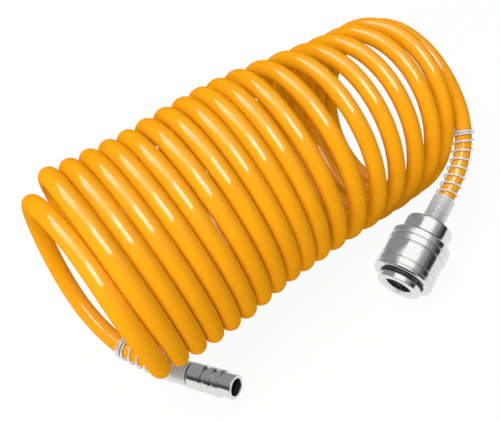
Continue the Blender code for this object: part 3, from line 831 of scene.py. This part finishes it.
def tailClamp():
    c = clamp
    edge, barb, deep = c["edge"], c["barb"], 3 * c["barb"]
    return [
        (c["neckOut"], 0.0, 0.0), (c["neckOut"], -c["neckLength"], edge),
        (c["neckIn"], -c["neckLength"], edge), (c["neckIn"], 0.0, 0.0),
        (c["root"], 0.0, 0.0), (c["crest"], -barb, 0.0), (c["root"], -barb, 0.0),
        (c["crest"], -2 * barb, 0.0), (c["root"], -2 * barb, 0.0), (c["root"], -deep, edge),
        (c["bore"], -deep, edge),
    ]


def shadeNeck(piece, rear, axis, bore=0.0):
    # painted shade: the neck under the close turns and the inside of the bore get the near-black material
    piece.data.materials.append(darkSteelAndShade)
    for face in piece.data.polygons:
        middle = face.center / mm - rear
        along = middle.dot(axis)
        if along < -clamp["paintedShadeFrom"] or (middle - axis * along).length < bore:
            face.material_index = 1


# Plug, from its nose back to its rear face and out again through the bore
plug = {
    "length": 25.0,
    "shoulder": 2.5,
    "body": 5.9,
    "collar": 6.0,
    "nose": 5.3,
    "noseBore": 3.8,
    "noseBack": 18.6,
    "noseStep": 0.4,
    "boreMargin": 0.05,
    "sealGroove": (14.2, 16.4, 4.8),    # from, to, and the radius at its bottom
    "lockGroove": (9.2, 11.8, 4.5),
    "grooveFlat": 0.6,
    "throat": 13.0,
}


def makePlug():
    p = plug
    low, high, deep = p["sealGroove"]
    lowLock, highLock, deepLock = p["lockGroove"]
    flat = p["grooveFlat"] / 2
    middle, middleLock = (low + high) / 2, (lowLock + highLock) / 2
    corners = [
        (p["nose"], p["length"], 0.45), (p["nose"], p["noseBack"] + p["noseStep"], 0.3),
        (p["collar"], p["noseBack"], 0.25), (p["collar"], high, 0.2),
        (deep, middle + flat, 0.3), (deep, middle - flat, 0.3),
        (p["body"], low, 0.2), (p["body"], highLock, 0.2),
        (deepLock, middleLock + flat, 0.35), (deepLock, middleLock - flat, 0.35),
        (p["body"], lowLock, 0.2), (p["body"], p["shoulder"], 0.4), (clamp["neckOut"], p["shoulder"], 0.1),
    ]
    corners += tailClamp()
    corners += [(clamp["bore"], p["throat"], 0.0), (p["noseBore"], high, 0.0),
                (p["noseBore"], p["length"], 0.35)]
    piece = turnedPiece("plugBody", corners, axisMatrix(plugRear, plugAxis))
    piece.data.materials.append(nickel)
    shadeNeck(piece, plugRear + plugAxis * p["shoulder"], plugAxis, p["noseBore"] + p["boreMargin"])
    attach(piece, "hose")
    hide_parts("plug_body")


makePlug()


# Socket: rear body, stem with nose lip, and the sleeve that slides back on it
socket = {
    "length": 35.3,
    "rearBody": (11.6, 12.0, 1.8),      # radius, front end, and the round of its rear edge
    "cup": 9.3,
    "floor": (4.7, 3.7, 6.2),           # floor inside, floor under the seal, and the radius between them
    "stem": 9.0,
    "stemBack": 4.85,
    "balls": 6,
    "ballPlace": 26.6,
    "ballHole": 1.9,
    "drillPast": 0.3,
    "ringSeat": (8.4, 31.0),            # radius and rear end
    "lip": (10.5, 32.3),
    "chamber": (6.5, 16.5),             # radius and front end
    "seat": (4.0, 18.5),
    "bore": 6.15,
    "sealGroove": (19.5, 21.9, 7.5),    # from, to, and the radius at its bottom
    "mouth": (7.3, 1.2),                # radius and depth
}


def makeRearBody():
    s = socket
    outer, front, shoulder = s["rearBody"]
    top, sealFloor, inner = s["floor"]
    corners = [(outer, front, 0.3), (outer, 0.0, shoulder)]
    corners += tailClamp()
    corners += [(clamp["bore"], top, 0.0), (inner, top, 0.0), (inner, sealFloor, 0.0),
                (s["cup"], sealFloor, 0.0), (s["cup"], front, 0.2)]
    piece = turnedPiece("socketRearBody", corners, axisMatrix(socketRear, socketAxis))
    piece.data.materials.append(nickel)
    shadeNeck(piece, socketRear, socketAxis)
    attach(piece, "hose")
    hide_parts("socket_rear_body")
    return piece


def drill(piece, matrix, place, radius, inner, outer, count, segments=32):
    # round holes through the wall of a turned piece, all at one place along its axis
    work = bmesh.new()
    lie = Matrix.Rotation(math.pi / 2, 4, "Y")
    for i in range(count):
        turn = Matrix.Rotation(math.tau * i / count, 4, "Z")
        move = Matrix.Translation(Vector(((inner + outer) / 2, 0.0, place)) * mm)
        bmesh.ops.create_cone(work, cap_ends=True, segments=segments, radius1=radius * mm,
                              radius2=radius * mm, depth=(outer - inner) * mm,
                              matrix=matrix @ turn @ move @ lie)
    mesh = bpy.data.meshes.new("drillBits")
    work.to_mesh(mesh)
    work.free()
    bits = placeMesh("drillBits", mesh)
    holes = piece.modifiers.new("holes", "BOOLEAN")
    holes.object = bits
    holes.solver = "EXACT"
    made = bpy.data.meshes.new_from_object(piece.evaluated_get(bpy.context.evaluated_depsgraph_get()))
    made.name = piece.name
    piece.modifiers.clear()
    piece.data = made
    bpy.data.objects.remove(bits)


def makeStem():
    s = socket
    lip, lipBack = s["lip"]
    ringSeat, ringBack = s["ringSeat"]
    chamber, seatBack = s["chamber"]
    seat, seatFront = s["seat"]
    sealBack, sealFront, sealDeep = s["sealGroove"]
    mouth, mouthDeep = s["mouth"]
    corners = [
        (lip, s["length"], 0.55), (lip, lipBack, 0.3), (ringSeat, lipBack, 0.0), (ringSeat, ringBack, 0.0),
        (s["stem"], ringBack, 0.2), (s["stem"], s["stemBack"], 0.2), (chamber, s["stemBack"], 0.0),
        (chamber, seatBack, 0.0), (seat, seatBack, 0.2), (seat, seatFront, 0.2), (s["bore"], seatFront, 0.0),
        (s["bore"], sealBack, 0.0), (sealDeep, sealBack, 0.0), (sealDeep, sealFront, 0.0),
        (s["bore"], sealFront, 0.0), (s["bore"], s["length"] - mouthDeep, 0.3), (mouth, s["length"], 0.25),
    ]
    matrix = axisMatrix(socketRear, socketAxis)
    piece = placeMesh("socketStem", turnedMesh("socketStem", corners, matrix))
    piece.data.materials.append(nickel)
    drill(piece, matrix, s["ballPlace"], s["ballHole"], s["bore"] - s["drillPast"],
          s["stem"] + s["drillPast"], s["balls"])
    weighNormals(piece)
    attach(piece, "hose")
    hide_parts("socket_body")
    return piece


sleeve = {
    "outer": 14.6,
    "rear": hoseLay["sleeveRear"],
    "front": 31.0,
    "skirt": 12.0,
    "landBack": 21.5,
    "land": 9.3,
    "coneStart": 26.0,
    "coneEnd": 11.15,
    "frontEdge": (0.6, 0.05, 0.8),      # drop at the very front, drop at its back, and its length
    "rearEdge": (1.3, 1.2),             # drop at the very rear, and its length
    # share of the length from the front, and how much of the swell is ahead of the rib and behind it
    "ribs": ((0.085, 0, 1), (0.24, 1, -1), (0.635, -1, 1), (0.8, 0, 1)),
    "ribWidth": 0.8,
    "ribDepth": 0.4,
    "ribSlope": 0.25,
    "swell": 0.12,
}


def makeSleeve():
    v = sleeve
    r, front, rear = v["outer"], v["front"], v["rear"]
    half, slope = v["ribWidth"] / 2, v["ribSlope"]
    drop, lastDrop, reach = v["frontEdge"]
    rearDrop, rearReach = v["rearEdge"]
    corners = [(r - drop, front, 0.5), (r - lastDrop, front - reach, 0.3)]
    for share, swellAhead, swellBehind in v["ribs"]:
        place = front - share * (front - rear)
        ahead, behind = r + v["swell"] * swellAhead, r + v["swell"] * swellBehind
        floor = min(ahead, behind) - v["ribDepth"]
        corners += [(ahead, place + half, 0.12), (floor, place + half - slope, 0.1),
                    (floor, place - half + slope, 0.1), (behind, place - half, 0.12)]
    corners += [(r, rear + rearReach, 0.6), (r - rearDrop, rear, 0.4), (v["skirt"], rear, 0.3),
                (v["skirt"], v["landBack"], 0.0), (v["land"], v["landBack"], 0.0),
                (v["land"], v["coneStart"], 0.0), (v["coneEnd"], front, 0.2)]
    piece = turnedPiece("socketSleeve", corners, axisMatrix(socketRear, socketAxis))
    piece.data.materials.append(nickel)
    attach(piece, "sleeve")
    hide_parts("socket_sleeve")
    return piece


rearBody = makeRearBody()
stem = makeStem()
sleevePiece = makeSleeve()
print("fittings turned")

# Springs inside the socket, copied from their CAD shapes; the table also names the slide that would push
# each one back
springs = {
    "sleeveCoil": ("sleeve_spring", "sleeve_slide"),
    "valveCoil": ("valve_spring", "valve_slide"),
}


def makeSpring(name):
    node, joint = springs[name]
    piece = placeMesh(name, nodes[node].data.copy())
    piece.data.materials.clear()
    piece.data.materials.append(steel)
    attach(piece, "hose")
    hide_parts(node)
    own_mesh(piece)


for name in springs:
    makeSpring(name)

# inner pieces keep their CAD shapes and get their own finishes
innerLooks = [
    ("sleeve_retaining_ring", darkSteelAndShade), ("valve_poppet", brass),
    ("valve_seal", rubber), ("plug_seal", rubber), ("body_seal", rubber),
]
innerLooks += [("locking_ball_%d" % (i + 1), steel) for i in range(socket["balls"])]
for name, material in innerLooks:
    data = nodes[name].data
    data.materials.clear()
    data.materials.append(material)


# Floor, world and lamps
studio = {
    "floorHalf": 4.0,
    "floorCells": 8,
    "floorDrop": 0.0002,
    "floorTone": 0.82,
    "shadowShare": 0.06,
    "ambient": 0.40,
    "aim": (0.0, 0.0, 0.05),
    "lamps": (
        # name, place, size, watts, what it lights
        ("softTop", (-0.50, -0.02, 1.2), (1.0, 1.0), 16.5, "tone"),
        ("leftFill", (-1.05, -0.55, 0.45), (0.5, 0.5), 3.5, "tone"),
        ("frontPanel", (-0.336, -0.278, 1.166), (0.80, 0.66), 26.0, "shine"),
        ("midPanel", (-0.336, 0.288, 1.163), (0.80, 0.51), 5.0, "shine"),
        ("topPanel", (-0.336, 0.82, 0.856), (0.80, 0.77), 13.0, "shine"),
    ),
    # what polished metal sees of the room, from straight down to straight up
    "room": (
        (0.0, 0.9), (0.5, 0.9), (0.505, 0.03), (0.66, 0.04), (0.675, 0.13), (0.765, 0.14), (0.785, 0.36),
        (0.87, 0.40), (0.89, 0.60), (0.92, 0.66), (0.94, 1.25), (1.0, 1.3),
    ),
    "rearGrey": 0.15,
}


def makeFloor():
    work = bmesh.new()
    cells = studio["floorCells"]
    bmesh.ops.create_grid(work, x_segments=cells, y_segments=cells, size=studio["floorHalf"])
    mesh = bpy.data.meshes.new("paleFloor")
    work.to_mesh(mesh)
    work.free()
    floor = placeMesh("paleFloor", mesh)
    floor.location.z = -studio["floorDrop"]
    material = bpy.data.materials.new("paleFloor")
    material.use_nodes = True
    tree = material.node_tree
    tree.nodes.clear()
    output = addNode(tree, "ShaderNodeOutputMaterial")
    plain = addNode(tree, "ShaderNodeBsdfDiffuse")
    plain.inputs["Color"].default_value = grey(studio["floorTone"])
    white = addNode(tree, "ShaderNodeEmission")
    white.inputs["Strength"].default_value = 1.0
    path = addNode(tree, "ShaderNodeLightPath")
    seen = math2(tree, "MAXIMUM", path.outputs["Is Camera Ray"], path.outputs["Is Glossy Ray"])
    seen = math2(tree, "MAXIMUM", seen, path.outputs["Is Transmission Ray"])
    share = math2(tree, "MULTIPLY", seen, 1.0 - studio["shadowShare"])
    mix = addNode(tree, "ShaderNodeMixShader")
    tree.links.new(share, mix.inputs["Fac"])
    tree.links.new(plain.outputs[0], mix.inputs[1])
    tree.links.new(white.outputs[0], mix.inputs[2])
    tree.links.new(mix.outputs[0], output.inputs["Surface"])
    mesh.materials.append(material)


def makeWorld():
    world = bpy.data.worlds.new("studioRoom")
    world.use_nodes = True
    bpy.context.scene.world = world
    tree = world.node_tree
    tree.nodes.clear()
    output = addNode(tree, "ShaderNodeOutputWorld")
    soft = addNode(tree, "ShaderNodeBackground")
    soft.inputs["Color"].default_value = grey(1.0)
    soft.inputs["Strength"].default_value = studio["ambient"]
    room = addNode(tree, "ShaderNodeBackground")
    coords = addNode(tree, "ShaderNodeTexCoord")
    split = addNode(tree, "ShaderNodeSeparateXYZ")
    tree.links.new(coords.outputs["Generated"], split.inputs[0])
    ramp = addNode(tree, "ShaderNodeValToRGB")
    stops = studio["room"]
    elements = ramp.color_ramp.elements
    elements[0].position, elements[1].position = stops[0][0], stops[-1][0]
    elements[0].color, elements[-1].color = grey(stops[0][1]), grey(stops[-1][1])
    for place, tone in stops[1:-1]:
        elements.new(place).color = grey(tone)
    behind = math2(tree, "MULTIPLY", math2(tree, "MAXIMUM", split.outputs["Y"], 0.0), studio["rearGrey"])
    height = spread(tree, math2(tree, "ADD", split.outputs["Z"], behind), 0.0, 1.0, -1.0, 1.0)
    tree.links.new(height, ramp.inputs["Fac"])
    tree.links.new(ramp.outputs["Color"], room.inputs["Color"])
    path = addNode(tree, "ShaderNodeLightPath")
    mix = addNode(tree, "ShaderNodeMixShader")
    tree.links.new(path.outputs["Is Glossy Ray"], mix.inputs["Fac"])
    tree.links.new(soft.outputs[0], mix.inputs[1])
    tree.links.new(room.outputs[0], mix.inputs[2])
    # the camera sees a white backdrop above the floor's far edge
    white = addNode(tree, "ShaderNodeBackground")
    white.inputs["Color"].default_value = grey(1.0)
    seen = addNode(tree, "ShaderNodeMixShader")
    tree.links.new(path.outputs["Is Camera Ray"], seen.inputs["Fac"])
    tree.links.new(mix.outputs[0], seen.inputs[1])
    tree.links.new(white.outputs[0], seen.inputs[2])
    tree.links.new(seen.outputs[0], output.inputs["Surface"])


def makeLamps():
    # the panels make the streaks on the hose, and the metal mirrors the room instead
    hoseOnly = bpy.data.collections.new("hoseOnly")
    hoseOnly.objects.link(hose)
    aim = Vector(studio["aim"])
    for name, place, size, watts, lights in studio["lamps"]:
        data = bpy.data.lights.new(name, "AREA")
        data.shape = "RECTANGLE"
        data.size, data.size_y = size
        data.energy = watts
        lamp = bpy.data.objects.new(name, data)
        bpy.context.collection.objects.link(lamp)
        lamp.location = place
        if lights == "shine":
            lamp.rotation_euler = (math.atan2(-place[1], place[2] - aim.z), 0.0, 0.0)
        else:
            lamp.rotation_euler = (aim - Vector(place)).to_track_quat("-Z", "Y").to_euler()
        lamp.visible_diffuse = lights == "tone"
        lamp.visible_glossy = lights == "shine"
        if lights == "shine":
            lamp.light_linking.receiver_collection = hoseOnly


makeFloor()
makeWorld()
makeLamps()
bpy.context.scene.view_settings.view_transform = "Standard"
print("studio lit")
